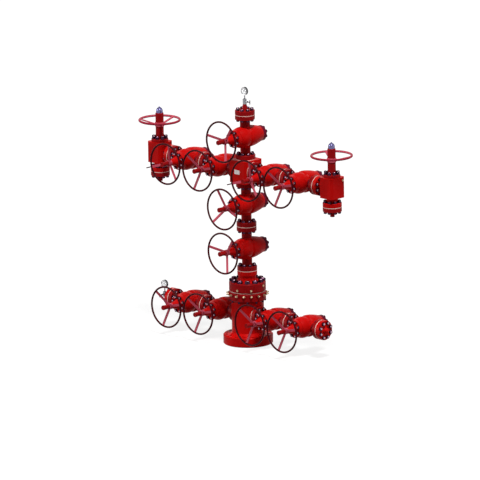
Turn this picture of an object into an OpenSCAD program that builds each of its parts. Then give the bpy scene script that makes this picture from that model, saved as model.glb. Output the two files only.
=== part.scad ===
// Injection well valve stack: a tubing head on a base flange carries an adapter, two master
// valves, a cross, a swab valve and a cap. Two wing arms leave the cross and end in chokes,
// and two annulus arms leave the tubing head.
// X runs along the arms, -Y faces the handwheels, Z is up. The origin is the centre of the
// base flange's bottom face.

/* [Base flange and spool] */
// Diameter of the base flange
base_flange_d = 545; // [520:1:570]
// Thickness of the base flange
base_flange_t = 108; // [95:1:115]
// Chamfer on the edges of the large flanges
big_chamfer = 10; // [4:1:16]
// Diameter of the spool above the base flange
spool_d = 355; // [340:1:360]
// Height of the fillet cone between base flange and spool
spool_foot_h = 26; // [10:1:34]
// Extra radius of that cone at the base flange
spool_foot_r = 18; // [6:1:24]
// Bolt holes in the base flange
base_bolts = 16; // [16]
// Diameter of a base bolt hole
base_bolt_d = 36; // [30:1:39]
// Distance of the bolt circle from the base flange's edge
base_bolt_edge = 37.5; // [35:0.5:41]
// Diameter of the casing bore in the base face
casing_bore_d = 250; // [200:1:260]
// Depth of the casing bore
casing_bore_depth = 90; // [60:1:92]

/* [Tubing head and adapter] */
// Diameter of the two tubing head flanges
head_flange_d = 405; // [390:1:415]
// Thickness of the tubing head flange
head_flange_t = 105; // [95:1:110]
// Size of the taper under the tubing head flange
head_taper = 20; // [12:1:24]
// Level of the joint between tubing head and adapter
head_joint_z = 588; // [580:1:596]
// Height of the annulus arms
annulus_z = 323; // [315:1:330]
// Diameter of the side outlet pads
outlet_pad_d = 236; // [222:1:240]
// Distance of the outlet pads' flat faces from the axis
outlet_face = 148; // [145:1:152]
// Diameter of the flare at the adapter's large flange
flare_d = 236; // [226:1:240]
// Height of the flare
flare_h = 45; // [30:1:55]
// Diameter of the neck between the adapter's flanges
adapter_neck_d = 196; // [186:1:204]
// Joint level on top of the adapter
adapter_joint_z = 817; // [812:1:822]
// Length that a lock screw stands out of the flange
lock_screw_reach = 35; // [28:1:40]
// Diameter of a lock screw's gland
lock_screw_d = 26; // [22:1:30]
// Length of that gland
lock_gland_l = 20; // [14:1:24]
// Diameter of the screw that stands out of the gland
lock_tip_d = 16; // [12:1:20]
// Number of lock screws
lock_screws_n = 16; // [16]
// Depth of the lock screws below the head joint
lock_screw_drop = 30; // [24:1:36]

/* [Gate valves] */
// Diameter of the end flanges
flange_d = 219; // [212:1:222]
// Thickness of an end flange
flange_t = 47; // [44:1:50]
// Chamfer on the flange edges
flange_chamfer = 3; // [1:0.5:5]
// Diameter of the neck behind an end flange
neck_d = 113; // [105:1:118]
// Gap that a gasket fills between two end faces
joint_gap = 8; // [6:1:10]
// Diameter of the body's swelling behind the flow line
belly_d = 242; // [234:1:246]
// Distance of that swelling's crest from the flow line
belly_at = 20; // [14:1:28]
// Diameter of the swelling in front of the flow line
front_belly_d = 236; // [228:1:240]
// Distance of the front crest from the flow line
front_belly_at = 62; // [54:1:70]
// Diameter of the crease between the two swellings
crease_d = 218; // [210:1:224]
// Distance of the crease in front of the flow line
crease_at = 4; // [0:1:8]
// Reach of the body toward the handwheel
body_front = 140; // [134:1:146]
// Reach of the body away from the handwheel
body_back = 205; // [198:1:212]
// Diameter of the front end of the body and of the bonnet flange
front_d = 196; // [188:1:204]
// Diameter of the back end of the body
back_d = 176; // [170:1:184]
// Thickness of the bonnet flange
bonnet_flange_t = 46; // [40:1:50]
// Diameter of the bonnet neck at its flange
bonnet_neck_d = 112; // [104:1:118]
// Diameter of the bonnet neck at the handwheel
bonnet_nose_d = 62; // [58:1:66]
// Diameter of the back cover's flange
cover_d = 172; // [164:1:180]
// Thickness of the back cover's flange
cover_t = 45; // [40:1:48]
// Diameter of the boss on the back cover
cover_boss_d = 90; // [80:1:96]
// Reach of that boss from the valve's axis
cover_reach = 269; // [266:1:276]
// Diameter of the stem sleeve
stem_d = 50; // [46:1:54]
// Reach of the stem sleeve from the valve's axis
stem_reach = 424; // [416:1:434]

/* [Handwheels] */
// Outer diameter of a handwheel
wheel_d = 468; // [456:1:472]
// Clearance between the rims of two neighbouring valves
wheel_gap = 27; // [20:1:30]
// Diameter of the rim's bar
rim_bar_d = 21; // [19:0.5:23]
// Place of the hub's inner face, from the valve's axis
hub_at = 294; // [290:1:298]
// Length of the hub
hub_l = 46; // [40:1:50]
// Diameter of the hub
hub_d = 68; // [65:1:72]
// Distance of the rim's plane from the valve's axis
rim_at = 372; // [365:1:380]
// Width of a spoke
spoke_w = 26; // [22:1:30]
// Thickness of a spoke
spoke_t = 10; // [8:1:12]
// Number of spokes
spokes_n = 3; // [3]
// Radial play between a hub and its sleeve
hub_play = 0.1; // [0.05:0.01:0.1]
// Length of the turning grip on some rims
grip_l = 78; // [60:1:90]
// Diameter of that grip
grip_d = 12; // [10:1:14]

/* [Cross and cap] */
// Edge length of the cross block along the flow lines
cross_l = 251; // [246:1:256]
// Width of the cross block along Y
cross_w = 272; // [264:1:276]
// Chamfer on the cross block's upright edges
cross_chamfer = 15; // [10:1:18]
// Diameter of the cap's boss at its foot
cap_boss_d = 72; // [66:1:78]
// Diameter of the boss at its top
cap_boss_top_d = 40; // [36:1:44]
// Height of the boss
cap_boss_h = 66; // [60:1:70]

/* [Chokes] */
// Distance of a choke's axis from its inlet face
choke_reach = 205.5; // [202:0.5:209]
// Width of a choke block along X
choke_w = 204; // [198:1:208]
// Depth of a choke block along Y
choke_depth = 216; // [208:1:222]
// Height of the choke block above the arm's axis
choke_up = 128; // [122:1:134]
// Depth of the choke block below the arm's axis
choke_down = 102; // [96:1:108]
// Chamfer on the block's upright edges
choke_chamfer = 24; // [18:1:30]
// Diameter of the bonnet's flange on the block
choke_bonnet_d = 187; // [180:1:194]
// Thickness of that flange
choke_bonnet_t = 30; // [24:1:36]
// Diameter of the choke's bonnet tube
choke_tube_d = 90; // [84:1:94]
// Top of the bonnet tube above the arm's axis
choke_tube_top = 444; // [436:1:452]
// Height of the choke wheel's hub above the arm's axis
choke_hub_at = 294; // [288:1:300]
// Wall of that hub around the tube
choke_hub_wall = 7; // [5:0.5:9]
// Height of the choke wheel's rim plane above the arm's axis
choke_rim_at = 363.5; // [358:0.5:370]
// Diameter of the choke wheel's rim bar
choke_rim_bar_d = 26; // [23:0.5:28]
// Diameter of the stem cap on top of the tube
stem_cap_d = 73; // [68:1:78]
// Height of the cap's straight side
stem_cap_side = 22; // [14:1:28]
// Height of the cap up to the top of its dome
stem_cap_h = 63; // [58:1:68]
// Diameter of the tip on the dome
stem_tip_d = 16; // [12:1:20]
// Height of that tip
stem_tip_h = 8; // [5:1:10]
// Diameter of the neck below the block
outlet_neck_d = 136; // [128:1:142]
// Diameter of the flanges below the block
outlet_flange_d = 210; // [200:1:216]
// Joint level of the outlet below the arm's axis
outlet_joint = 206.5; // [202:0.5:212]
// Thickness of the outlet flanges
outlet_flange_t = 46; // [42:1:50]
// Diameter of the outlet stub
stub_d = 50; // [47:1:54]
// Length of the outlet stub
stub_l = 62; // [50:1:70]
// Diameter of the stub's bore
stub_bore_d = 36; // [32:1:40]

/* [Gauges and small fittings] */
// Diameter of a gauge case
gauge_d = 88; // [84:1:92]
// Thickness of a gauge case
gauge_t = 30; // [26:1:34]
// Diameter of the dial inside the case's rim
dial_d = 76; // [72:1:80]
// Depth of the dial behind that rim
dial_depth = 5; // [3:0.5:8]
// Height of the gauge's centre on the cap's joint
cap_gauge_up = 263; // [258:1:268]
// Height of the gauge's centre above the annulus arm's axis
annulus_gauge_up = 136; // [132:1:142]
// Distance of the annulus gauge's stem from the end flange's joint face
annulus_gauge_reach = 144; // [139:1:150]
// Diameter of the gauge stems
gauge_stem_d = 14; // [12:1:16]
// Width of a needle valve's block
needle_w = 34; // [30:1:38]
// Height of a needle valve's block
needle_h = 58; // [52:1:62]
// Diameter of a needle valve's neck
needle_neck_d = 20; // [18:1:24]
// Reach of that neck from the valve's axis
needle_neck = 46; // [42:1:50]
// Reach of a needle valve's handle from its axis
needle_reach = 80; // [74:1:86]
// Height of the annulus needle valve's centre above the arm's axis
annulus_needle_up = 20; // [14:1:26]
// Length of the handle's cross bar
tee_l = 46; // [40:1:52]
// Diameter of the handle's bars
tee_d = 10; // [8:1:12]
// Diameter of the plug on the right annulus flange
plug_d = 80; // [74:1:86]
// Diameter of the plug where its rounded tip starts
plug_tip_d = 48; // [42:1:54]
// Height of the plug up to its tip
plug_side = 30; // [24:1:34]
// Height of the rounded tip
plug_tip_h = 15; // [10:1:18]

/* [Hidden] */
// Facets of round faces
$fn = 96;
// Gap between two pieces that meet face to face
seat = 0.3;
// Overlap that fuses shapes inside one piece
fuse = 1;
// Chamfer on small turned pieces
small_chamfer = 2;
// Distance of a gasket's edge inside its flange's edge
gasket_inset = 1;
// Steps along a long swelling outline, and down into a crease
SWELL_STEPS = 6;
CREASE_STEPS = 3;

// Levels and places worked out from the flow line
pitch = wheel_d + wheel_gap;
face_to_face = pitch - joint_gap;
half_valve = face_to_face / 2;
half_pitch = pitch / 2;
half_gap = joint_gap / 2;
adapter_top = adapter_joint_z - half_gap;
lower_master_z = adapter_joint_z + half_pitch;
upper_master_z = lower_master_z + pitch;
wing_z = upper_master_z + half_pitch + half_gap + cross_l / 2;
swab_z = wing_z + cross_l / 2 + half_gap + half_pitch;
cap_joint_z = swab_z + half_pitch;
cap_z = cap_joint_z + half_gap;
wing_inner_x = cross_l / 2 + half_gap + half_pitch;
wing_outer_x = wing_inner_x + pitch;
wing_end_x = wing_outer_x + half_pitch;
annulus_face_x = outlet_face + half_gap;
annulus_inner_x = annulus_face_x + half_pitch;
annulus_outer_x = annulus_inner_x + pitch;
annulus_end_x = annulus_outer_x + half_pitch;
head_top = head_joint_z - half_gap;
head_flange_z = head_top - head_flange_t;
base_bolt_circle = base_flange_d - 2 * base_bolt_edge;
choke_face_x = wing_end_x + half_gap;
choke_x = choke_face_x + choke_reach;
end_face_x = annulus_end_x + half_gap;
annulus_gauge_x = end_face_x + annulus_gauge_reach;
cap_needle_z = cap_z + flange_t + cap_boss_h + seat + needle_h / 2;
annulus_needle_z = annulus_z + annulus_needle_up;
cap_gauge_z = cap_joint_z + cap_gauge_up;
annulus_gauge_z = annulus_z + annulus_gauge_up;

// Handwheel spoke angles, from +X toward +Z, for the three ways the wheels stand
TURN_A = 47;
TURN_B = 76;
TURN_C = 15.5;
TURN_D = 108;
// Spoke angles of the left and right choke wheels, from +X toward +Y
TURN_LEFT_CHOKE = 91;
TURN_RIGHT_CHOKE = 31;

// Gate valve: name, place along X, level, flow direction, spoke angle, grip on the rim
VALVES = [
    ["swab", 0, swab_z, "up", TURN_A, false],
    ["upper_master", 0, upper_master_z, "up", TURN_D, false],
    ["lower_master", 0, lower_master_z, "up", TURN_A, false],
    ["left_inner_wing", -wing_inner_x, wing_z, "along", TURN_C, false],
    ["left_outer_wing", -wing_outer_x, wing_z, "along", TURN_B, true],
    ["right_inner_wing", wing_inner_x, wing_z, "along", TURN_B, true],
    ["right_outer_wing", wing_outer_x, wing_z, "along", TURN_C, false],
    ["left_inner_annulus", -annulus_inner_x, annulus_z, "along", TURN_C, false],
    ["left_outer_annulus", -annulus_outer_x, annulus_z, "along", TURN_C, false],
    ["right_inner_annulus", annulus_inner_x, annulus_z, "along", TURN_C, false],
    ["right_outer_annulus", annulus_outer_x, annulus_z, "along", TURN_C, false]
];

// Outline of a swelling between two points [radius, place]: level at the wider one, and
// falling ever faster toward the narrower one; the second point itself is left out
function swell(a, b, steps) = [
    for (i = [0 : steps - 1])
        let (t = i / steps, from_crest = a[0] > b[0] ? t : 1 - t)
            [min(a[0], b[0]) + abs(a[0] - b[0]) * cos(90 * from_crest), a[1] + (b[1] - a[1]) * t]
];

// Outline of a rounded end: radius r at place z, closing over the height h
function dome(r, z, h) = [for (a = [0 : 15 : 90]) [r * cos(a), z + h * sin(a)]];

// Outline of a hollow flare: radius r_foot at place 0, drawn in to r_neck at the height h
function flare(r_foot, r_neck, h) =
    [for (a = [0 : 15 : 90]) [r_neck + (r_foot - r_neck) * (1 - sin(a)), h * (1 - cos(a))]];

// Disc with chamfered edges, standing on Z = 0
module disc(d, t, chamfer) {
    r = d / 2;
    rotate_extrude()
        polygon([
            [0, 0], [r - chamfer, 0], [r, chamfer],
            [r, t - chamfer], [r - chamfer, t], [0, t]
        ]);
}

// Child turned so that its Z axis points along +X
module along_x() rotate([0, 90, 0]) children();

// Child turned so that its Z axis points along -Y
module to_front() rotate([90, 0, 0]) children();

// Child turned so that its Z axis points along +Y
module to_back() rotate([-90, 0, 0]) children();

// Box with its upright edges chamfered, standing on Z = 0
module block(w, d, h, chamfer) {
    x = w / 2;
    y = d / 2;
    linear_extrude(h)
        polygon([
            [x - chamfer, -y], [x, chamfer - y], [x, y - chamfer], [x - chamfer, y],
            [chamfer - x, y], [-x, y - chamfer], [-x, chamfer - y], [chamfer - x, -y]
        ]);
}

// Child placed at a gate valve and turned to its flow direction
module at_valve(v)
    translate([v[1], 0, v[2]])
        rotate([0, v[3] == "up" ? 0 : 90, 0])
            children();

// Gate valve body with its flow line along Z and its gate along Y: two swellings that meet
// in a crease
module valve_body() {
    front_end = [front_d / 2, -body_front];
    front_crest = [front_belly_d / 2, -front_belly_at];
    crease = [crease_d / 2, -crease_at];
    crest = [belly_d / 2, belly_at];
    back_end = [back_d / 2, body_back];
    color("red") {
        translate([0, 0, -half_valve]) disc(flange_d, flange_t, flange_chamfer);
        translate([0, 0, half_valve - flange_t]) disc(flange_d, flange_t, flange_chamfer);
        translate([0, 0, fuse - half_valve])
            cylinder(d = neck_d, h = face_to_face - 2 * fuse);
        to_back()
            rotate_extrude()
                polygon([
                    [0, -body_front], each swell(front_end, front_crest, SWELL_STEPS),
                    each swell(front_crest, crease, CREASE_STEPS),
                    each swell(crease, crest, CREASE_STEPS),
                    each swell(crest, back_end, SWELL_STEPS), back_end, [0, body_back]
                ]);
    }
}

// Bonnet: flange, tapering neck and the sleeve that the handwheel turns on
module bonnet() {
    flange_at = body_front + seat;
    neck_at = flange_at + bonnet_flange_t;
    nose_at = hub_at - seat;
    color("red")
        to_front()
            rotate_extrude()
                polygon([
                    [0, flange_at], [front_d / 2 - flange_chamfer, flange_at],
                    [front_d / 2, flange_at + flange_chamfer],
                    [front_d / 2, neck_at - flange_chamfer],
                    [front_d / 2 - flange_chamfer, neck_at], [bonnet_neck_d / 2, neck_at],
                    [bonnet_nose_d / 2, nose_at], [stem_d / 2, nose_at],
                    [stem_d / 2, stem_reach - flange_chamfer],
                    [stem_d / 2 - flange_chamfer, stem_reach], [0, stem_reach]
                ]);
}

// Cover on the back of a gate valve, with a boss in its middle
module back_cover() {
    flange_at = body_back + seat;
    color("red")
        to_back()
            translate([0, 0, flange_at]) {
                disc(cover_d, cover_t, flange_chamfer);
                disc(cover_boss_d, cover_reach - flange_at, flange_chamfer);
            }
}

// Handwheel around Z, with its hub from hub_from and its rim plane at rim_level
module handwheel(sleeve_d, hub_from, rim_level, hub_outer_d, bar_d) {
    rim_r = (wheel_d - bar_d) / 2;
    hub_r = hub_outer_d / 2;
    spoke_from = hub_from + hub_l / 2;
    run = rim_r - hub_r + fuse;
    rise = rim_level - spoke_from;
    color("crimson") {
        translate([0, 0, rim_level])
            rotate_extrude() translate([rim_r, 0]) circle(d = bar_d, $fn = 32);
        difference() {
            translate([0, 0, hub_from]) disc(hub_outer_d, hub_l, small_chamfer);
            translate([0, 0, hub_from - fuse])
                cylinder(d = sleeve_d + 2 * hub_play, h = hub_l + 2 * fuse);
        }
        for (i = [0 : spokes_n - 1])
            rotate([0, 0, i * 360 / spokes_n])
                translate([hub_r - fuse, 0, spoke_from])
                    rotate([0, -atan2(rise, run), 0])
                        translate([0, -spoke_w / 2, -spoke_t / 2])
                            cube([norm([run, rise]), spoke_w, spoke_t]);
    }
}

// Handwheel of a gate valve, facing -Y, with its first spoke at the valve's angle
module valve_wheel(v) {
    rim_r = (wheel_d - rim_bar_d) / 2;
    translate([v[1], 0, v[2]])
        to_front()
            rotate([0, 0, v[4]]) {
                handwheel(stem_d, hub_at, rim_at, hub_d, rim_bar_d);
                if (v[5])
                    color("crimson")
                        rotate([0, 0, 360 / spokes_n])
                            translate([rim_r, 0, rim_at])
                                cylinder(d = grip_d, h = grip_l);
            }
}

// Base flange with its ring of bolt holes and the casing bore
module base_flange() {
    color("red") difference() {
        disc(base_flange_d, base_flange_t, big_chamfer);
        translate([0, 0, -fuse]) cylinder(d = casing_bore_d, h = casing_bore_depth + fuse);
        for (i = [0 : base_bolts - 1])
            rotate([0, 0, (i + 0.5) * 360 / base_bolts])
                translate([base_bolt_circle / 2, 0, -fuse])
                    cylinder(d = base_bolt_d, h = base_flange_t + 2 * fuse);
    }
}

// Spool on the base flange, with its top flange and two side outlets
module tubing_head() {
    r = spool_d / 2;
    flange_r = head_flange_d / 2;
    from_z = base_flange_t + seat;
    color("red") difference() {
        union() {
            translate([0, 0, from_z])
                cylinder(r1 = r + spool_foot_r, r2 = r, h = spool_foot_h);
            translate([0, 0, from_z]) cylinder(r = r, h = head_flange_z - from_z + fuse);
            translate([0, 0, head_flange_z])
                rotate_extrude()
                    polygon([
                        [0, 0], [flange_r - head_taper, 0], [flange_r, head_taper],
                        [flange_r, head_flange_t - big_chamfer],
                        [flange_r - big_chamfer, head_flange_t], [0, head_flange_t]
                    ]);
            for (side = [-1, 1])
                translate([0, 0, annulus_z])
                    rotate([0, side * 90, 0])
                        disc(outlet_pad_d, outlet_face, flange_chamfer);
        }
        for (side = [-1, 1])
            translate([side * outlet_face, 0, annulus_z])
                rotate([0, side * 90, 0])
                    cylinder(d = outlet_pad_d, h = spool_d);
    }
}

// Screws around the tubing head that lock the hanger, each standing out of its gland
module lock_screws() {
    from_r = head_flange_d / 2 + seat;
    color("goldenrod")
        translate([0, 0, head_joint_z - lock_screw_drop])
            for (i = [0 : lock_screws_n - 1])
                rotate([0, 0, (i + 0.5) * 360 / lock_screws_n])
                    translate([from_r, 0, 0])
                        along_x() {
                            disc(lock_screw_d, lock_gland_l, small_chamfer);
                            disc(lock_tip_d, lock_screw_reach, small_chamfer);
                        }
}

// Adapter from the head flange to the flow line, drawn in to a neck between its flanges
module head_adapter() {
    z = head_joint_z + half_gap;
    flange_top = z + head_flange_t;
    top_from = adapter_top - flange_t;
    color("red") {
        translate([0, 0, z]) disc(head_flange_d, head_flange_t, big_chamfer);
        translate([0, 0, flange_top - fuse])
            rotate_extrude()
                polygon([
                    [0, 0], each flare(flare_d / 2, adapter_neck_d / 2, flare_h),
                    [adapter_neck_d / 2, top_from - flange_top + 2 * fuse],
                    [0, top_from - flange_top + 2 * fuse]
                ]);
        translate([0, 0, top_from]) disc(flange_d, flange_t, flange_chamfer);
    }
}

// Gasket between two faces that stand a joint gap apart
module gasket(d) {
    translate([0, 0, seat - half_gap]) cylinder(d = d, h = joint_gap - 2 * seat);
}

// Every gasket of the stack
module ring_gaskets() {
    small_d = flange_d - 2 * gasket_inset;
    color("salmon") {
        translate([0, 0, head_joint_z]) gasket(head_flange_d - 2 * big_chamfer);
        for (z = [adapter_joint_z, lower_master_z + half_pitch, wing_z - cross_l / 2 - half_gap,
                  wing_z + cross_l / 2 + half_gap, cap_joint_z])
            translate([0, 0, z]) gasket(small_d);
        for (side = [-1, 1]) {
            for (x = [cross_l / 2 + half_gap, wing_inner_x + half_pitch, wing_end_x])
                translate([side * x, 0, wing_z]) along_x() gasket(small_d);
            for (x = [annulus_face_x, annulus_inner_x + half_pitch, annulus_end_x])
                translate([side * x, 0, annulus_z]) along_x() gasket(small_d);
            translate([side * choke_x, 0, wing_z - outlet_joint])
                gasket(outlet_flange_d - 2 * gasket_inset);
        }
    }
}

// Solid cross block between the master valves, the swab valve and the wings
module cross_block() {
    color("red")
        translate([0, 0, wing_z - cross_l / 2])
            block(cross_l, cross_w, cross_l, cross_chamfer);
}

// Cap flange with the tapering boss that takes the top needle valve
module tree_cap() {
    color("red")
        translate([0, 0, cap_z]) {
            disc(flange_d, flange_t, flange_chamfer);
            translate([0, 0, flange_t - fuse])
                cylinder(d1 = cap_boss_d, d2 = cap_boss_top_d, h = cap_boss_h + fuse);
        }
}

// Choke block with inlet flange and outlet flange; side is +1 right, -1 left
module choke_body(side) {
    flange_from = outlet_joint - half_gap;
    neck_l = choke_x - choke_w / 2 - choke_face_x;
    color("red")
        translate([0, 0, wing_z]) {
            translate([side * choke_face_x, 0, 0])
                rotate([0, side * 90, 0]) {
                    disc(flange_d, flange_t, flange_chamfer);
                    cylinder(d = neck_d, h = neck_l + fuse);
                }
            translate([side * choke_x, 0, -choke_down])
                block(choke_w, choke_depth, choke_up + choke_down, choke_chamfer);
            translate([side * choke_x, 0, -flange_from]) {
                cylinder(d1 = neck_d, d2 = outlet_neck_d, h = flange_from - choke_down + fuse);
                disc(outlet_flange_d, outlet_flange_t, flange_chamfer);
            }
        }
}

// Bonnets of the two chokes, each with the tube its wheel turns on
module choke_bonnets() {
    from_z = choke_up + seat;
    color("red")
        for (side = [-1, 1])
            translate([side * choke_x, 0, wing_z + from_z]) {
                disc(choke_bonnet_d, choke_bonnet_t, flange_chamfer);
                disc(choke_tube_d, choke_tube_top - from_z, flange_chamfer);
            }
}

// Wheel of a choke; side is +1 right, -1 left
module choke_wheel(side, angle) {
    hub_outer_d = choke_tube_d + 2 * choke_hub_wall;
    translate([side * choke_x, 0, wing_z])
        rotate([0, 0, angle])
            handwheel(choke_tube_d, choke_hub_at, choke_rim_at, hub_outer_d, choke_rim_bar_d);
}

// Domed caps with a small tip over the ends of the choke stems
module stem_caps() {
    r = stem_cap_d / 2;
    color("lightsteelblue")
        for (side = [-1, 1])
            translate([side * choke_x, 0, wing_z + choke_tube_top + seat]) {
                rotate_extrude()
                    polygon([
                        [0, 0], [r, 0], each dome(r, stem_cap_side, stem_cap_h - stem_cap_side)
                    ]);
                disc(stem_tip_d, stem_cap_h + stem_tip_h, small_chamfer);
            }
}

// Companion flange and stub under each choke
module outlet_flanges() {
    top = outlet_joint + half_gap;
    color("red")
        for (side = [-1, 1])
            translate([side * choke_x, 0, wing_z - top - outlet_flange_t])
                difference() {
                    union() {
                        disc(outlet_flange_d, outlet_flange_t, flange_chamfer);
                        translate([0, 0, -stub_l]) cylinder(d = stub_d, h = stub_l + fuse);
                    }
                    translate([0, 0, -stub_l - fuse])
                        cylinder(d = stub_bore_d, h = stub_l + outlet_flange_t / 2);
                }
}

// Flanges that close the annulus arms: a plug on the right, and on the left a boss that
// takes the needle valve
module annulus_end_flanges() {
    boss_l = annulus_gauge_x - needle_w / 2 - seat - end_face_x - flange_t;
    color("red")
        translate([0, 0, annulus_z]) {
            translate([end_face_x, 0, 0])
                along_x() {
                    disc(flange_d, flange_t, flange_chamfer);
                    translate([0, 0, flange_t - fuse])
                        rotate_extrude()
                            polygon([
                                [0, 0], [plug_d / 2, 0],
                                each dome(plug_tip_d / 2, plug_side, plug_tip_h)
                            ]);
                }
            translate([-end_face_x, 0, 0])
                rotate([0, -90, 0]) {
                    disc(flange_d, flange_t, flange_chamfer);
                    translate([0, 0, flange_t - fuse])
                        cylinder(d1 = cap_boss_d, d2 = cap_boss_top_d, h = boss_l + fuse);
                }
        }
}

// Needle valve around its block's middle, with the pipe that carries a gauge at gauge_up
module needle_valve(gauge_up) {
    color("silver") difference() {
        union() {
            translate([0, 0, -needle_h / 2])
                block(needle_w, needle_w, needle_h, flange_chamfer);
            cylinder(d = gauge_stem_d, h = gauge_up - gauge_d / 2 - seat);
            to_back() cylinder(d = needle_neck_d, h = needle_neck);
        }
        translate([0, needle_w / 2, 0])
            to_back() cylinder(d = tee_d + 2 * hub_play, h = needle_neck);
    }
}

// Handle of a needle valve: a shaft along Y in the valve's neck and an upright cross bar
module needle_handle() {
    from_y = needle_w / 2 + seat;
    color("dimgray") {
        translate([0, from_y, 0]) to_back() cylinder(d = tee_d, h = needle_reach - from_y);
        translate([0, needle_reach, -tee_l / 2]) cylinder(d = tee_d, h = tee_l);
    }
}

// Case of a gauge, facing -Y, with its dial sunk behind the rim
module gauge_case() {
    color("white")
        translate([0, gauge_t / 2, 0])
            to_front()
                difference() {
                    disc(gauge_d, gauge_t, small_chamfer);
                    translate([0, 0, gauge_t - dial_depth])
                        cylinder(d = dial_d, h = dial_depth + fuse);
                }
}

// Child placed at the top needle valve, whose handle points along +X
module at_cap_valve() translate([0, 0, cap_needle_z]) rotate([0, 0, -90]) children();

// Child placed at the needle valve on the left annulus arm, whose handle points along -Y
module at_annulus_valve()
    translate([-annulus_gauge_x, 0, annulus_needle_z]) rotate([0, 0, 180]) children();

// Both needle valves
module needle_valves() {
    at_cap_valve() needle_valve(cap_gauge_z - cap_needle_z);
    at_annulus_valve() needle_valve(annulus_gauge_z - annulus_needle_z);
}

// Both gauges
module pressure_gauges() {
    translate([0, 0, cap_gauge_z]) gauge_case();
    translate([-annulus_gauge_x, 0, annulus_gauge_z]) gauge_case();
}

for (v = VALVES) {
    at_valve(v) valve_body();
    at_valve(v) bonnet();
    valve_wheel(v);
    at_valve(v) back_cover();  // back_covers
}
base_flange();
tubing_head();
lock_screws();
head_adapter();
ring_gaskets();
cross_block();
tree_cap();
choke_body(-1);  // left_choke_body
choke_body(1);  // right_choke_body
choke_bonnets();
choke_wheel(-1, TURN_LEFT_CHOKE);  // left_choke_wheel
choke_wheel(1, TURN_RIGHT_CHOKE);  // right_choke_wheel
stem_caps();
outlet_flanges();
annulus_end_flanges();
needle_valves();
at_cap_valve() needle_handle();  // cap_needle_handle
at_annulus_valve() needle_handle();  // annulus_needle_handle
pressure_gauges();
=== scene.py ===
"""Oil wellhead valve stack: paint, bolting, fittings, gauges and studio around the fixed frame."""

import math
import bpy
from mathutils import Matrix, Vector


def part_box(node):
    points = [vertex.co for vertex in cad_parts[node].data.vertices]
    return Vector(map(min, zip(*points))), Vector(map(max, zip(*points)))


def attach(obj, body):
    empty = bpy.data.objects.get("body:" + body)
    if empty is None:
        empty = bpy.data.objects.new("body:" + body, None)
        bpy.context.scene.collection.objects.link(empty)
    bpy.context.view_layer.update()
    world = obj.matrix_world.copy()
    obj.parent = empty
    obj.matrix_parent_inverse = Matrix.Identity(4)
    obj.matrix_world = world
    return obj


bl_info = {
    "name": "Wellhead Valve Stack Finish",
    "version": (1, 0, 0),
    "blender": (4, 5, 0),
    "location": "View3D > Sidebar > Wellhead",
    "description": "Dresses the wellhead's solids with paint, studs and nuts, fittings and gauges",
    "category": "Object",
}

import bpy
from mathutils import Matrix, Vector
from mathutils.bvhtree import BVHTree

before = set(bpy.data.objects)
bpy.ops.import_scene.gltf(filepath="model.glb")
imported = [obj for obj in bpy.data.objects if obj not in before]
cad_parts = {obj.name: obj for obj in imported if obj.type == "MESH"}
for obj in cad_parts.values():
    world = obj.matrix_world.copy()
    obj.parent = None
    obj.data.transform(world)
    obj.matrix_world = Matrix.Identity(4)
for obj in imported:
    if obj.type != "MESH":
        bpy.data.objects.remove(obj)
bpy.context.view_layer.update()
STACK = "stack"

MM = 0.001
X, Y, Z = range(3)
HEX = 6
WHITE = (1.0, 1.0, 1.0, 1.0)

# A turned shape's point with a smaller radius lies on its axis
NEAR_AXIS = 1e-7
# How far outside a solid a line starts, and how far behind a wall that it met it goes on
CLEAR = 1 * MM
PAST_WALL = 0.1 * MM
# How many walls a line from outside meets up to each face of a solid
NEAR_FACE, FAR_FACE = 1, 2
# The width over which one enamel gives way to another, and a wheel rim's depth towards its hub,
# over which the rim wears its darker colour of painted shade
ZONE_EDGE = 1 * MM
SHADED_RIM_DEPTH = 21 * MM
# Shares of a flange's reach: where the adapter's flange begins, and a place beside the spool
ADAPTER_FLANGE = 0.75
BESIDE_SPOOL = 0.9
# Steps of a gauge's scale, steps from one long mark to the next, and where the needle points
MARKS, LONG_EVERY = 30, 5
READING = 0.62
# The floor's grey under the lamps, and its own light where it is the background
FLOOR_GREY = 0.22
FLOOR_GLOW = 0.85

UP, DOWN = Vector((0, 0, 1)), Vector((0, 0, -1))
RIGHT, LEFT = Vector((1, 0, 0)), Vector((-1, 0, 0))
FRONT, BACK = Vector((0, -1, 0)), Vector((0, 1, 0))

TREE_VALVES = ("swab", "upper_master", "lower_master")
WING_VALVES = ("left_inner_wing", "left_outer_wing", "right_inner_wing", "right_outer_wing")
ANNULUS_VALVES = (
    "left_inner_annulus", "left_outer_annulus", "right_inner_annulus", "right_outer_annulus"
)
VALVES = TREE_VALVES + WING_VALVES + ANNULUS_VALVES
CHOKES = ("left_choke", "right_choke")


# Places read from the frame

def middle(node):
    low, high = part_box(node)
    return (Vector(low) + Vector(high)) / 2


def edge(node, direction):
    """Coordinate of a node's outermost face along a signed axis."""
    low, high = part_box(node)
    axis = max(range(3), key=lambda i: abs(direction[i]))
    return (high if direction[axis] > 0 else low)[axis]


def on_axis(point, axis, value):
    """A copy of the point with one coordinate set."""
    moved = Vector(point)
    moved[axis] = value
    return moved


def valve_centre(valve):
    return on_axis(middle(valve + "_body"), Y, 0.0)


def node_walls(node):
    """The faces of a node's solid, ready to be met by a straight line."""
    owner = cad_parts[node]
    points = [owner.matrix_world @ vertex.co for vertex in owner.data.vertices]
    return BVHTree.FromPolygons(points, [tuple(face.vertices) for face in owner.data.polygons])


def wall_met(walls, start, direction, face=NEAR_FACE):
    """Where a line meets the near face of a solid, or its far face."""
    point = Vector(start)
    for _ in range(face):
        found, _, _, _ = walls.ray_cast(point, direction)
        if found is None:
            raise RuntimeError(f"no wall along {tuple(direction)} from {tuple(start)}")
        point = found + Vector(direction) * PAST_WALL
    return found


# Mesh helpers

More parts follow.
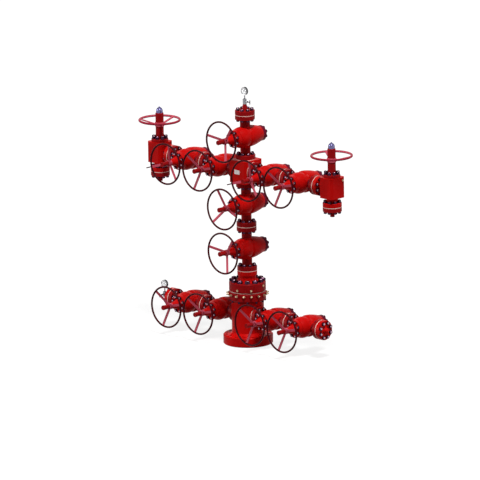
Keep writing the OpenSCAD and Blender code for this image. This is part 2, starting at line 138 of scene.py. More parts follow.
def new_mesh_object(name, points, faces, bare_glint_from=None):
    """A linked mesh; its points from number bare_glint_from on get the attribute bare, for stud
    ends of bare metal and painted highlight.
    """
    mesh = bpy.data.meshes.new(name)
    mesh.from_pydata([tuple(p) for p in points], [], faces)
    mesh.update()
    if bare_glint_from is not None:
        bare = mesh.attributes.new("bare", "FLOAT", "POINT")
        bare.data.foreach_set("value", [float(i >= bare_glint_from) for i in range(len(points))])
    made = bpy.data.objects.new(name, mesh)
    bpy.context.scene.collection.objects.link(made)
    return made


def turned(radius, height, turn):
    """The point at a radius and a height, turned around Z."""
    return Vector((radius * math.cos(turn), radius * math.sin(turn), height))


def lathe(profile, steps):
    """Points and faces of a closed turned shape around Z, from (radius, height) pairs.

    The profile runs up from the axis at the bottom to the axis at the top.
    """
    points, rings, faces = [], [], []
    for radius, height in profile:
        count = 1 if radius < NEAR_AXIS else steps
        rings.append(list(range(len(points), len(points) + count)))
        points += [turned(radius, height, math.tau * i / steps) for i in range(count)]
    for lower, upper in zip(rings, rings[1:]):
        for i in range(steps):
            j = (i + 1) % steps
            face = [lower[i % len(lower)], lower[j % len(lower)],
                    upper[j % len(upper)], upper[i % len(upper)]]
            faces.append([v for k, v in enumerate(face) if v != face[k - 1]])
    return points, faces


def ring_lathe(profile, steps):
    """Points and faces of a ring around Z, from a closed loop of (radius, height) pairs."""
    count = len(profile)
    points = [turned(radius, height, math.tau * i / steps)
              for i in range(steps) for radius, height in profile]
    faces = []
    for i in range(steps):
        j = (i + 1) % steps
        for k in range(count):
            m = (k + 1) % count
            faces.append([i * count + k, j * count + k, j * count + m, i * count + m])
    return points, faces


def slab(outline, thick):
    """A flat slab on an outline, standing out to the front by its thickness."""
    count = len(outline)
    points = outline + [point + FRONT * thick for point in outline]
    faces = [[i, (i + 1) % count, count + (i + 1) % count, count + i] for i in range(count)]
    faces += [list(range(count))[::-1], list(range(count, 2 * count))]
    return points, faces


def join_shapes(shapes):
    """One list of points and faces from several."""
    points, faces = [], []
    for shape_points, shape_faces in shapes:
        start = len(points)
        points += shape_points
        faces += [[v + start for v in face] for face in shape_faces]
    return points, faces


def placed(shape, origin, facing):
    """The shape with its Z axis along facing, standing on origin."""
    points, faces = shape
    stand = Vector(facing).to_track_quat("Z", "Y").to_matrix()
    return [Vector(origin) + stand @ p for p in points], faces


def hex_corner(flats):
    """The radius to a hexagon's corners, from its size across flats."""
    return flats / 2 / math.cos(math.pi / HEX)


def hex_nut(flats, height, chamfer):
    """A closed six-sided nut standing on Z = 0, with its top corners taken off."""
    radius = hex_corner(flats)
    return lathe([(0, 0), (radius, 0), (radius, height - chamfer), (radius - chamfer, height),
                  (0, height)], HEX)


def open_nut(flats, height):
    """A low six-sided nut standing on Z = 0, open in its middle."""
    outer, bore = hex_corner(flats), flats * 0.3
    shoulder, crown = height * 0.8, outer * 0.93
    return ring_lathe([(bore, 0), (outer, 0), (outer, shoulder), (crown, height), (bore, height)],
                      HEX)


def thread(radius, start, end, pitch, steps):
    """A stud from start to end along Z, with a ridge for each turn of its thread."""
    depth = pitch * 0.3
    root = radius - depth
    turns = max(2, round((end - start) / pitch))
    step = (end - start) / turns
    profile = [(0, start), (root, start)]
    for i in range(turns):
        foot = start + step * i
        profile += [(radius, foot + step / 2), (root, foot + step)]
    profile += [(root - depth, end + depth), (0, end + depth)]
    return lathe(profile, steps)


def stud_and_nut(flats, height, stud_radius, reach, pitch):
    """Nut and the rounded end of the stud that stands out of it, on Z = 0.

    Points, faces and the number of the stud's first point, because a stud's end is bare metal with
    a painted highlight.
    """
    washer, washer_radius, chamfer = flats * 0.04, flats * 0.49, flats * 0.07
    nut = join_shapes([
        lathe([(0, 0), (washer_radius, 0), (washer_radius, washer), (0, washer)], steps=24),
        placed(hex_nut(flats, height - washer, chamfer), (0, 0, washer), UP),
    ])
    stud = thread(stud_radius, height, height + reach, pitch, steps=12)
    return *join_shapes([nut, stud]), len(nut[0])


# Materials

def material_tree(name):
    material = bpy.data.materials.new(name)
    material.use_nodes = True
    tree = material.node_tree
    tree.nodes.clear()
    output = tree.nodes.new("ShaderNodeOutputMaterial")
    return material, tree, output


def put(tree, kind, inputs=None, **modes):
    """A new node; an input takes a value, or a socket that it is linked from."""
    made = tree.nodes.new(kind)
    for key, value in modes.items():
        setattr(made, key, value)
    for key, value in (inputs or {}).items():
        if isinstance(value, bpy.types.NodeSocket):
            tree.links.new(value, made.inputs[key])
        else:
            made.inputs[key].default_value = value
    return made


def rgba(colour):
    return (*tuple(colour)[:3], 1.0)


def deeper(colour, share):
    """The colour with only a share of its light."""
    return [part * share for part in colour]


def object_place(tree):
    return put(tree, "ShaderNodeTexCoord").outputs["Object"]


def noise(tree, place, scale, detail):
    return put(
        tree, "ShaderNodeTexNoise", {"Vector": place, "Scale": scale, "Detail": detail}
    ).outputs["Fac"]


def spread(tree, value, low, high, onto=(0.0, 1.0)):
    """The value's range from low to high, stretched onto another range."""
    return put(
        tree, "ShaderNodeMapRange",
        {"Value": value, "From Min": low, "From Max": high, "To Min": onto[0], "To Max": onto[1]},
    ).outputs["Result"]


def bump(tree, height, strength, distance, **inputs):
    return put(
        tree, "ShaderNodeBump",
        {"Strength": strength, "Distance": distance, "Height": height, **inputs},
    ).outputs["Normal"]


def mix_colour(tree, factor, first, second):
    """Colour socket that goes from first to second; either may be a colour or a socket."""
    ends = [end if isinstance(end, bpy.types.NodeSocket) else rgba(end) for end in (first, second)]
    # The colour sockets of a mixing node come after those of its other types
    return put(
        tree, "ShaderNodeMix", {0: factor, 6: ends[0], 7: ends[1]}, data_type="RGBA"
    ).outputs[2]


def skin(tree, output, inputs):
    """The surface of a material, from the values and sockets of its shader."""
    shader = put(tree, "ShaderNodeBsdfPrincipled", inputs)
    tree.links.new(shader.outputs["BSDF"], output.inputs["Surface"])


def cast_bump(tree, place, grain, strength):
    """Bump of paint over a casting: broad waves of the sand mould and fine orange peel."""
    waves = bump(tree, noise(tree, place, grain, detail=3.0), strength, distance=1.2 * MM)
    peel = noise(tree, place, grain * 9, detail=1.0)
    return bump(tree, peel, strength * 0.6, distance=0.3 * MM, Normal=waves)


def vector_math(tree, operation, *vectors):
    return put(
        tree, "ShaderNodeVectorMath", dict(enumerate(vectors)), operation=operation
    ).outputs


def beyond(tree, place, centre, axis, start, radial):
    """Factor that is 1 beyond a distance from a centre, away from an axis or along it."""
    shifted = vector_math(tree, "SUBTRACT", place, tuple(centre))[0]
    part = vector_math(tree, "PROJECT", shifted, tuple(axis))[0]
    if radial:
        part = vector_math(tree, "SUBTRACT", shifted, part)[0]
    distance = vector_math(tree, "LENGTH", part)["Value"]
    return spread(tree, distance, start - ZONE_EDGE, start)


def paint(name, colour, shade, painted_shade_colour=None, far=None, grain=38.0, strength=0.22):
    """Enamel over cast steel, a little uneven in colour and gloss.

    Where far gives a centre, an axis, a distance and whether that is measured away from the
    axis, the surface beyond it has painted_shade_colour, a deeper colour that is painted shade.
    """
    material, tree, output = material_tree(name)
    place = object_place(tree)
    smears = noise(tree, place, scale=17.0, detail=5.0)
    patched = mix_colour(tree, noise(tree, place, scale=5.0, detail=4.0), colour, shade)
    if far is not None:
        # Painted shade: beyond the given place the surface takes the deeper colour, smeared like
        # the enamel
        painted_shade_smeared = mix_colour(tree, smears, painted_shade_colour, deeper(painted_shade_colour, 0.7))
        patched = mix_colour(tree, beyond(tree, place, *far), patched, painted_shade_smeared)
    skin(tree, output, {
        "Base Color": patched, "Specular IOR Level": 0.04,
        "Roughness": spread(tree, smears, low=0.3, high=0.7, onto=(0.3, 0.44)),
        "Normal": cast_bump(tree, place, grain, strength),
    })
    return material


def metal(name, colour, stain, rough, grain=120.0, bare=None):
    """Bare or blackened steel, brass and the like, with stains in its colour and gloss.

    Points with the attribute bare show the colour bare, where one is given; on stud ends that pale
    colour is bare metal and painted highlight.
    """
    material, tree, output = material_tree(name)
    place = object_place(tree)
    spots = noise(tree, place, grain, detail=4.0)
    stained = mix_colour(tree, spread(tree, spots, low=0.35, high=0.7), colour, stain)
    # Painted highlight, partly bare metal: the pale colour on the points marked bare, which are
    # the stud ends
    if bare is not None:
        end = put(tree, "ShaderNodeAttribute", attribute_name="bare")
        stained = mix_colour(tree, end.outputs["Fac"], stained, bare)
    scratches = noise(tree, place, grain * 8, detail=2.0)
    skin(tree, output, {
        "Base Color": stained, "Metallic": 1.0, "Specular Tint": rgba(stain),
        "Roughness": spread(tree, spots, 0.0, 1.0, onto=(rough * 0.7, rough * 1.4)),
        "Normal": bump(tree, scratches, strength=0.15, distance=0.2 * MM),
    })
    return material


def matte(name, colour, shade, rough=0.6):
    """Plain unpainted or printed surface with a slight mottle."""
    material, tree, output = material_tree(name)
    mottle = noise(tree, object_place(tree), scale=60.0, detail=4.0)
    skin(tree, output, {
        "Base Color": mix_colour(tree, mottle, colour, shade), "Roughness": rough,
        "Normal": bump(tree, mottle, strength=0.2, distance=0.2 * MM),
    })
    return material


def clear_glass(name):
    """Thin clear gauge glass with a faint smear in its gloss."""
    material, tree, output = material_tree(name)
    smear = noise(tree, object_place(tree), scale=40.0, detail=3.0)
    skin(tree, output, {
        "Base Color": (0.95, 0.97, 1.0, 1.0), "Transmission Weight": 1.0, "IOR": 1.05,
        "Alpha": 0.35, "Roughness": spread(tree, smear, 0.0, 1.0, onto=(0.02, 0.1)),
    })
    return material


def dress(owner, material):
    """Gives an object its one material."""
    owner.data.materials.clear()
    owner.data.materials.append(material)


# Geometry Nodes

def repeat_tree(name):
    """Rings of a piece, or single copies if a ring holds none, on every point of a mesh.

    Each ring or copy stands along its point's facing. Returns the tree and its inputs'
    identifiers by name.
    """
    tree = bpy.data.node_groups.new(name, "GeometryNodeTree")
    sockets = {
        label: tree.interface.new_socket(
            name=label, in_out="INPUT", socket_type="NodeSocket" + kind
        ).identifier
        for label, kind in (
            ("Places", "Geometry"), ("Piece", "Object"), ("Pieces in a ring", "Int"),
            ("Ring radius", "Float"), ("Finish", "Material"),
        )
    }
    tree.interface.new_socket(name="Pieces", in_out="OUTPUT", socket_type="NodeSocketGeometry")
    given = tree.nodes.new("NodeGroupInput").outputs
    result = tree.nodes.new("NodeGroupOutput").inputs
    count = given["Pieces in a ring"]

    piece = put(tree, "GeometryNodeObjectInfo", {"Object": given["Piece"]})
    circle = put(
        tree, "GeometryNodeMeshCircle", {"Vertices": count, "Radius": given["Ring radius"]}
    )
    half_step = put(tree, "ShaderNodeMath", {0: math.pi, 1: count}, operation="DIVIDE")
    turn = put(tree, "ShaderNodeCombineXYZ", {"Z": half_step.outputs[0]})
    straddled = put(
        tree, "GeometryNodeTransform",
        {"Geometry": circle.outputs["Mesh"], "Rotation": turn.outputs[0]},
    )
    outward = put(tree, "GeometryNodeInputPosition")
    aim = put(
        tree, "FunctionNodeAlignRotationToVector", {"Vector": outward.outputs[0]}, axis="X"
    )
    ring = put(
        tree, "GeometryNodeInstanceOnPoints",
        {"Points": straddled.outputs["Geometry"], "Instance": piece.outputs["Geometry"],
         "Rotation": aim.outputs[0]},
    )
    single = put(
        tree, "FunctionNodeCompare", {2: count, 3: 0}, data_type="INT", operation="EQUAL"
    )
    unit = put(
        tree, "GeometryNodeSwitch",
        {"Switch": single.outputs[0], "False": ring.outputs["Instances"],
         "True": piece.outputs["Geometry"]},
        input_type="GEOMETRY",
    )

    facing = put(
        tree, "GeometryNodeInputNamedAttribute", {"Name": "facing"}, data_type="FLOAT_VECTOR"
    )
    stand = put(
        tree, "FunctionNodeAlignRotationToVector", {"Vector": facing.outputs["Attribute"]},
        axis="Z",
    )
    copies = put(
        tree, "GeometryNodeInstanceOnPoints",
        {"Points": given["Places"], "Instance": unit.outputs[0], "Rotation": stand.outputs[0]},
    )
    solid = put(tree, "GeometryNodeRealizeInstances", {"Geometry": copies.outputs["Instances"]})
    coated = put(
        tree, "GeometryNodeSetMaterial",
        {"Geometry": solid.outputs["Geometry"], "Material": given["Finish"]},
    )
    tree.links.new(coated.outputs["Geometry"], result["Pieces"])
    return tree, sockets


def bake_piece(name, holder):
    """Plain mesh object from a holder's evaluated modifiers; the holder is removed."""
    bpy.context.view_layer.update()
    evaluated = holder.evaluated_get(bpy.context.evaluated_depsgraph_get())
    mesh = bpy.data.meshes.new_from_object(evaluated)
    mesh.name = name
    made = bpy.data.objects.new(name, mesh)
    bpy.context.scene.collection.objects.link(made)
    bpy.data.objects.remove(holder)
    return made


def join_stack(made, smooth_below=math.radians(40)):
    """Shades a piece, smooth but for edges sharper than the angle, and adds it to the stack."""
    made.data.shade_smooth()
    made.data.set_sharp_from_angle(angle=smooth_below)
    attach(made, STACK)


def repeated_piece(name, places, shape, finish, count=0, radius=0.0):
    """A plain mesh of copies at (centre, facing) pairs, each a ring of count or a single one."""
    source = new_mesh_object(name + "_shape", *shape)
    holder = new_mesh_object(name + "_places", [centre for centre, _ in places], [])
    attribute = holder.data.attributes.new("facing", "FLOAT_VECTOR", "POINT")
    for entry, (_, facing) in zip(attribute.data, places):
        entry.vector = facing
    tree, sockets = repeat_tree(name + "_repeats")
    modifier = holder.modifiers.new("Repeats", "NODES")
    modifier.node_group = tree
    for label, value in (("Piece", source), ("Pieces in a ring", count),
                         ("Ring radius", radius), ("Finish", finish)):
        modifier[sockets[label]] = value
    made = bake_piece(name, holder)
    bpy.data.objects.remove(source)
    join_stack(made)


def single_piece(name, shape, finish):
    """A piece of the stack made once, from points and faces."""
    made = new_mesh_object(name, *shape)
    dress(made, finish)
    join_stack(made)


# Sizes and colours that a user would change

def length(label, text, millimetres):
    return bpy.props.FloatProperty(
        name=label, description=text, default=millimetres * MM, min=0.0, unit="LENGTH"
    )


def number(label, text, default):
    return bpy.props.IntProperty(name=label, description=text, default=default, min=4)


def brightness(label, text, default):
    return bpy.props.FloatProperty(name=label, description=text, default=default, min=0.0)


def tint(label, text, colour):
    return bpy.props.FloatVectorProperty(
        name=label, description=text, default=colour, min=0.0, max=1.0, size=3, subtype="COLOR"
    )


def angle(label, text, degrees):
    return bpy.props.FloatProperty(
        name=label, description=text, default=math.radians(degrees), unit="ROTATION"
    )


class WellheadBolting(bpy.types.PropertyGroup):
    """Sizes of studs, nuts and bolt circles."""

    flange_circle: length("Flange circle", "Bolt circle diameter of the valve flanges", 165.1)
    flange_flats: length("Flange nut", "Size across flats of the valve flange nuts", 36.5)
    flange_nut_h: length("Flange nut height", "Height of the valve flange nuts", 18)
    flange_stud_d: length("Flange stud", "Diameter of the valve flange studs", 22.2)
    stud_out: length("Stud end", "Length of stud that stands out of a nut", 4)
    bonnet_circle: length("Bonnet circle", "Bolt circle diameter of the bonnets", 160)
    bonnet_flats: length("Bonnet nut", "Size across flats of the bonnet nuts", 28.6)
    bonnet_nut_h: length("Bonnet nut height", "Height of the bonnet nuts", 16)
    bonnet_stud_d: length("Bonnet stud", "Diameter of the studs in bonnets and covers", 17.5)
    cover_circle: length("Cover circle", "Bolt circle diameter of the back covers", 134)
    cover_flats: length("Cover nut", "Size across flats of the back cover nuts", 33)
    cover_nut_h: length("Cover nut height", "Height of the back cover nuts", 17)
    head_circle: length("Head circle", "Bolt circle diameter of the tubing head joint", 335)
    head_flats: length("Head nut", "Size across flats of the tubing head nuts", 57)
    head_nut_h: length("Head nut height", "Height of the tubing head nuts", 27)
    head_stud_d: length("Head stud", "Diameter of the tubing head studs", 35)
    under_circle: length("Under circle", "Bolt circle diameter under the tubing head flange", 380)
    under_flats: length("Under nut", "Size across flats of the nuts under that flange", 22)
    under_nut_h: length("Under nut height", "Height of those nuts", 24)
    under_stud_d: length("Under stud", "Diameter of the studs in those nuts", 13)
    choke_circle: length("Choke circle", "Bolt circle diameter of the choke bonnets", 144)
    choke_flats: length("Choke nut", "Size across flats of the choke bonnet nuts", 36.5)
    choke_nut_h: length("Choke nut height", "Height of the choke bonnet nuts", 30)
    thread_pitch: length("Thread pitch", "Pitch of the stud threads", 3)
    per_small: number("Small ring", "Studs in a small ring", 8)
    per_large: number("Large ring", "Studs in the head ring", 12)


class WellheadFinish(bpy.types.PropertyGroup):
    """Colours of paint and metals."""

    red: tint("Red", "Enamel of the valves and chokes", (0.62, 0.004, 0.003))
    red_shade: tint("Deep red", "Deeper patches of that enamel", (0.53, 0.004, 0.004))
    # Painted shade: a deeper red that stands in for the shade on cap, necks, flanges, choke
    # bonnets, stem sleeves and lock screw glands
    wine: tint("Wine red", "Enamel of cap, flanges and choke bonnets", (0.36, 0.006, 0.008))
    # Painted shade: the back covers face away from the lamps, and this dark plum stands in for
    # their shade
    painted_shade_plum: tint("Plum", "Enamel of the back covers", (0.17, 0.008, 0.028))
    spoke: tint("Spokes", "Enamel of the wheel spokes and hubs", (0.70, 0.10, 0.155))
    # Painted shade: the rims are darker than the spokes for the shade on their thin sides, the
    # gate valve rims near black
    rim: tint("Rims", "Enamel of the gate valve rims", (0.075, 0.002, 0.006))
    choke_rim: tint("Choke rims", "Enamel of the choke wheel rims", (0.46, 0.03, 0.06))
    # Blackened steel, near black, with a red-violet tint that is painted reflection of the red
    # bodies
    nut: tint("Nuts", "Blackened studs and nuts", (0.02, 0.007, 0.014))
    nut_stain: tint("Nut stain", "Worn patches on studs and nuts", (0.075, 0.03, 0.06))
    # Partly bare steel, partly painted highlight: pale dots that stand in for the glints on the
    # nuts
    stud_end_glint: tint("Stud ends", "Bare ends of the studs", (0.45, 0.30, 0.36))
    brass: tint("Brass", "Lock screws and port fittings", (0.80, 0.60, 0.42))
    brass_stain: tint("Brass stain", "Dull patches on the brass", (0.10, 0.09, 0.035))
    # The gaskets' own salmon, made paler so that the joint lines also carry a painted highlight
    gasket: tint("Gasket", "Edge of the ring gaskets", (1.0, 0.62, 0.55))
    steel: tint("Steel", "Needle valves", (0.34, 0.34, 0.36))
    bezel: tint("Bezel steel", "Polished rims of the gauges", (0.80, 0.80, 0.81))
    steel_stain: tint("Steel stain", "Dull patches on the steel", (0.16, 0.16, 0.17))
    case: tint("Gauge case", "Dark steel of the gauge cases", (0.14, 0.14, 0.145))
    dome: tint("Dome", "Caps of the choke stems", (0.20, 0.19, 0.34))
    dome_stain: tint("Dome stain", "Darker patches on those caps", (0.09, 0.08, 0.20))
    dial: tint("Dial", "Face of the gauges", (0.98, 0.98, 0.97))
    ink: tint("Ink", "Marks and needle of the gauges", (0.02, 0.02, 0.02))
    ink_worn: tint("Worn ink", "Faded patches on the marks", (0.05, 0.05, 0.05))
    plate: tint("Plate", "Bare plate on the cross block", (0.95, 0.89, 0.89))


class WellheadFittings(bpy.types.PropertyGroup):
    """Sizes of the small fittings."""

    port_flats: length("Port plug", "Size across flats of a port plug", 24)
    port_out: length("Port reach", "Reach of a port plug from its face", 16)
    port_rise: length("Port rise", "Height of the front ports above the head joint", 30)
    high_rise: length("High port", "Height of the side port above the head joint", 70)
    front_turn: angle("Front port turn", "Turn of the front port from straight ahead", 12.5)
    second_turn: angle("Second port turn", "Turn of the port beside the front one", 56.3)
    high_turn: angle("High port turn", "Turn of the high side port", 101.6)
    choke_aside: length("Choke port aside", "Distance of the choke's port behind its middle", 62)
    choke_rise: length("Choke port rise", "Height of the choke's port above the arm", 96)
    gland_flats: length("Gland nut", "Size across flats of the nut around a lock screw", 36)
    gland_h: length("Gland height", "Height of that nut", 9)
    screws: number("Lock screws", "Lock screws in their ring", 16)
    plate_w: length("Plate width", "Width of the bare plate", 80)
    plate_h: length("Plate height", "Height of the bare plate", 48)
    plate_t: length("Plate thickness", "Thickness of the bare plate", 1.5)
    sleeve_ring: length("Sleeve ring", "Length of the ring around a stem sleeve's end", 14)
    bezel_out: length("Bezel", "Height of a gauge's rim on its case", 3)
    sweep: angle("Dial sweep", "Angle that a gauge's marks cover", 270)


class WellheadStudio(bpy.types.PropertyGroup):
    """Camera, lamps and floor."""

    azimuth: angle("Azimuth", "Camera's turn from the front", 45.2)
    elevation: angle("Elevation", "Camera's height over the horizon", 13.15)
    roll: angle("Roll", "Camera's roll about its line of sight", -0.88)
    lens: bpy.props.FloatProperty(name="Lens", description="Focal length in millimetres",
                                  default=1600.0, min=50.0)
    frame_width: length("Frame width", "Real width that the picture shows", 5258)
    aim_side: length("Aim aside", "Aim point left of the tree's axis", 74.2)
    aim_up: length("Aim up", "Aim point above the base in the picture plane", 1122.7)
    key: brightness("Key", "Strength of the key lamp", 3.0)
    left: brightness("Left", "Strength of the left side lamp", 1.1)
    right: brightness("Right", "Strength of the right side lamp", 0.4)
    sky: brightness("Sky", "Light of the surroundings", 0.07)
    floor_side: length("Floor side", "Side of the square floor", 90000)


def settings(context):
    scene = context.scene
    return (scene.wellhead_bolting, scene.wellhead_finish, scene.wellhead_fittings,
            scene.wellhead_studio)


def shared(name, make, *colours, **texture):
    """A material that several pieces share, made by the first of them."""
    return bpy.data.materials.get(name) or make(name, *colours, **texture)


# The deeper red of painted shade, shared by the pieces that wear it
def painted_shade_enamel(finish):
    return shared("wine_enamel", paint, finish.wine, deeper(finish.wine, 0.85))


# Near-black nuts with a tint of painted reflection, and stud ends of bare metal and painted
# highlight
def nuts_with_painted_light(finish):
    return shared("blackened_nuts", metal, finish.nut, finish.nut_stain, rough=0.28, grain=90.0,
                  bare=finish.stud_end_glint)


def brass_metal(finish):
    return shared("lock_brass", metal, finish.brass, finish.brass_stain, rough=0.3, grain=70.0)


def red_and_painted_shade(name, finish, *far):
    """The red enamel, with the deeper red of painted shade on what lies beyond the place that far
    gives, as in paint.
    """
    return paint(name, finish.red, finish.red_shade, finish.wine, far)


# Operators

class WELLHEAD_OT_paint_frame(bpy.types.Operator):
    """Give every solid of the frame its paint or metal"""

    bl_idname = "wellhead.paint_frame"
    bl_label = "Paint the Frame"

    def execute(self, context):
        _, finish, _, _ = settings(context)
        red = paint("red_enamel", finish.red, finish.red_shade)
        wine = painted_shade_enamel(finish)
        others = {
            # Cap, choke bonnets and outlet flanges wear the deeper red of painted shade
            "tree_cap": wine, "choke_bonnets": wine, "outlet_flanges": wine,
            "head_adapter": self.adapter_paint(finish), "tubing_head": self.head_paint(finish),
            # Back covers: dark plum that is painted shade
            "back_covers": paint("back_cover_painted_shade", finish.painted_shade_plum, deeper(finish.painted_shade_plum, 0.7)),
            "lock_screws": brass_metal(finish),
            # Gasket edges: the gaskets' salmon made paler, partly painted highlight
            "ring_gaskets": matte("gasket_edge_and_glint", finish.gasket, deeper(finish.gasket, 0.85)),
            "stem_caps": metal("blued_caps", finish.dome, finish.dome_stain, 0.22, grain=60.0),
            "needle_valves": metal("fitting_steel", finish.steel, finish.steel_stain, 0.25),
            "cap_needle_handle": nuts_with_painted_light(finish), "annulus_needle_handle": nuts_with_painted_light(finish),
            "pressure_gauges": metal("case_steel", finish.case, deeper(finish.case, 1 / 3), 0.3),
        }
        hub_back = -edge("swab_wheel", BACK)
        # The stem sleeve in front of the wheel hub wears the deeper red of painted shade
        bonnet = red_and_painted_shade("bonnet_enamel", finish, Vector(), FRONT, hub_back, False)
        for name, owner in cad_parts.items():
            if name.removesuffix("_bonnet") in VALVES:
                dress(owner, bonnet)
            elif name.endswith("_wheel"):
                dress(owner, self.wheel_paint(name, finish))
            elif name.removesuffix("_body") in VALVES:
                dress(owner, self.valve_paint(name, finish))
            else:
                dress(owner, others.get(name, red))
        return {"FINISHED"}

    def adapter_paint(self, finish):
        """Red enamel, with the large flange in the deeper red of painted shade."""
        return red_and_painted_shade("adapter_enamel", finish, middle("head_adapter"), UP,
                        edge("head_adapter", RIGHT) * ADAPTER_FLANGE, True)

    def head_paint(self, finish):
        """Red enamel, with the flange above the spool in the deeper red of painted shade."""
        beside = Vector((edge("tubing_head", RIGHT) * BESIDE_SPOOL, 0,
                         valve_centre("left_inner_annulus").z))
        level = wall_met(node_walls("tubing_head"), beside, UP).z
        return red_and_painted_shade("head_enamel", finish, Vector(), UP, level, False)

    def wheel_paint(self, name, finish):
        """Enamel of a handwheel: spokes and hub in one colour, the rim in a darker one that is
        painted shade.
        """
        low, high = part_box(name)
        choke = "choke" in name
        rim = finish.choke_rim if choke else finish.rim
        far = (middle(name), UP if choke else FRONT, (high[X] - low[X]) / 2 - SHADED_RIM_DEPTH, True)
        return paint(name + "_enamel", finish.spoke, deeper(finish.spoke, 0.8), rim, far,
                     grain=60.0, strength=0.15)

    def valve_paint(self, name, finish):
        """Enamel of a gate valve: a red body, with necks and end flanges in the deeper red of
        painted shade.
        """
        low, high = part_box(name)
        upright = name.removesuffix("_body") in TREE_VALVES
        across = X if upright else Z
        swelling = (high[across] - low[across]) / 2
        return red_and_painted_shade(name + "_enamel", finish, on_axis(middle(name), Y, 0.0),
                        UP if upright else RIGHT, swelling, False)


def nut_ring(node, centre, direction, circle, face=NEAR_FACE):
    """Centre and facing of the nut ring on a flange.

    The line from centre along direction, moved out to the bolt circle, meets the flange. The
    ring stands on its near face, facing back, or on its far face, facing on.
    """
    square_to_line = Vector((direction.z, direction.x, direction.y))
    aside = square_to_line * circle / 2
    seat = wall_met(node_walls(node), centre + aside, direction, face) - aside
    return seat, direction if face == FAR_FACE else -direction


def nut_rings(name, rings, bolting, finish, kind, stud_d, count):
    """Rings of one kind of nut, with the ends of their studs, as one piece."""
    circle, flats, height = (getattr(bolting, f"{kind}_{size}")
                             for size in ("circle", "flats", "nut_h"))
    shape = stud_and_nut(flats, height, stud_d / 2, bolting.stud_out, bolting.thread_pitch)
    repeated_piece(name, rings, shape, nuts_with_painted_light(finish), count, circle / 2)


class WELLHEAD_OT_flange_studs(bpy.types.Operator):
    """Put studs and nuts on the flanges of the flow lines"""

    bl_idname = "wellhead.flange_studs"
    bl_label = "Flange Studs"

    def execute(self, context):
        bolting, finish, _, _ = settings(context)
        circle = bolting.flange_circle
        rings = []
        for valve in VALVES:
            body = valve + "_body"
            axis, ends = (Z, (UP, DOWN)) if valve in TREE_VALVES else (X, (RIGHT, LEFT))
            for end in ends:
                outside = on_axis(valve_centre(valve), axis, edge(body, end) + end[axis] * CLEAR)
                rings.append(nut_ring(body, outside, -end, circle, FAR_FACE))
        for node, valve, end in (
            ("tree_cap", "swab", UP),
            ("left_choke_body", "left_outer_wing", LEFT),
            ("right_choke_body", "right_outer_wing", RIGHT),
            ("annulus_end_flanges", "left_outer_annulus", LEFT),
            ("annulus_end_flanges", "right_outer_annulus", RIGHT),
        ):
            axis = Z if end is UP else X
            joint = on_axis(valve_centre(valve), axis, edge(valve + "_body", end))
            rings.append(nut_ring(node, joint, end, circle, FAR_FACE))
        for choke in CHOKES:
            below = on_axis(on_axis(middle(choke + "_wheel"), Y, 0.0), Z,
                            edge(choke + "_body", DOWN) - CLEAR)
            rings.append(nut_ring(choke + "_body", below, UP, circle, FAR_FACE))
            rings.append(nut_ring("outlet_flanges", below, DOWN, circle, FAR_FACE))
        nut_rings("flange_studs", rings, bolting, finish, "flange", bolting.flange_stud_d,
                  bolting.per_small)
        return {"FINISHED"}


class WELLHEAD_OT_bonnet_studs(bpy.types.Operator):
    """Put studs and nuts on the bonnets and back covers of the gate valves and on the chokes"""

    bl_idname = "wellhead.bonnet_studs"
    bl_label = "Bonnet Studs"

    def execute(self, context):
        bolting, finish, _, _ = settings(context)
        fronts, backs, tops = [], [], []
        for valve in VALVES:
            centre = valve_centre(valve)
            ahead = on_axis(centre, Y, edge(valve + "_bonnet", FRONT))
            behind = on_axis(centre, Y, edge("back_covers", BACK) + CLEAR)
            fronts.append(nut_ring(valve + "_bonnet", ahead, BACK, bolting.bonnet_circle))
            backs.append(nut_ring("back_covers", behind, FRONT, bolting.cover_circle))
        for choke in CHOKES:
            above = on_axis(middle(choke + "_wheel"), Z, edge("choke_bonnets", UP))
            tops.append(nut_ring("choke_bonnets", above, DOWN, bolting.choke_circle))
        for kind, rings in (("bonnet", fronts), ("cover", backs), ("choke", tops)):
            nut_rings(kind + "_studs", rings, bolting, finish, kind, bolting.bonnet_stud_d,
                      bolting.per_small)
        return {"FINISHED"}


class WELLHEAD_OT_head_studs(bpy.types.Operator):
    """Put the nuts above and below the tubing head joint"""

    bl_idname = "wellhead.head_studs"
    bl_label = "Head Studs"

    def execute(self, context):
        bolting, finish, _, _ = settings(context)
        above = on_axis(middle("head_adapter"), Z, edge("head_adapter", UP) + CLEAR)
        over = nut_ring("head_adapter", above, DOWN, bolting.head_circle)
        arms = on_axis(above, Z, valve_centre("left_inner_annulus").z)
        rim = 2 * (edge("tubing_head", RIGHT) - CLEAR)
        under = nut_ring("tubing_head", arms, UP, rim)
        nut_rings("head_studs", [over], bolting, finish, "head", bolting.head_stud_d,
                  bolting.per_large)
        nut_rings("head_under_nuts", [under], bolting, finish, "under", bolting.under_stud_d,
                  bolting.per_large)
        return {"FINISHED"}


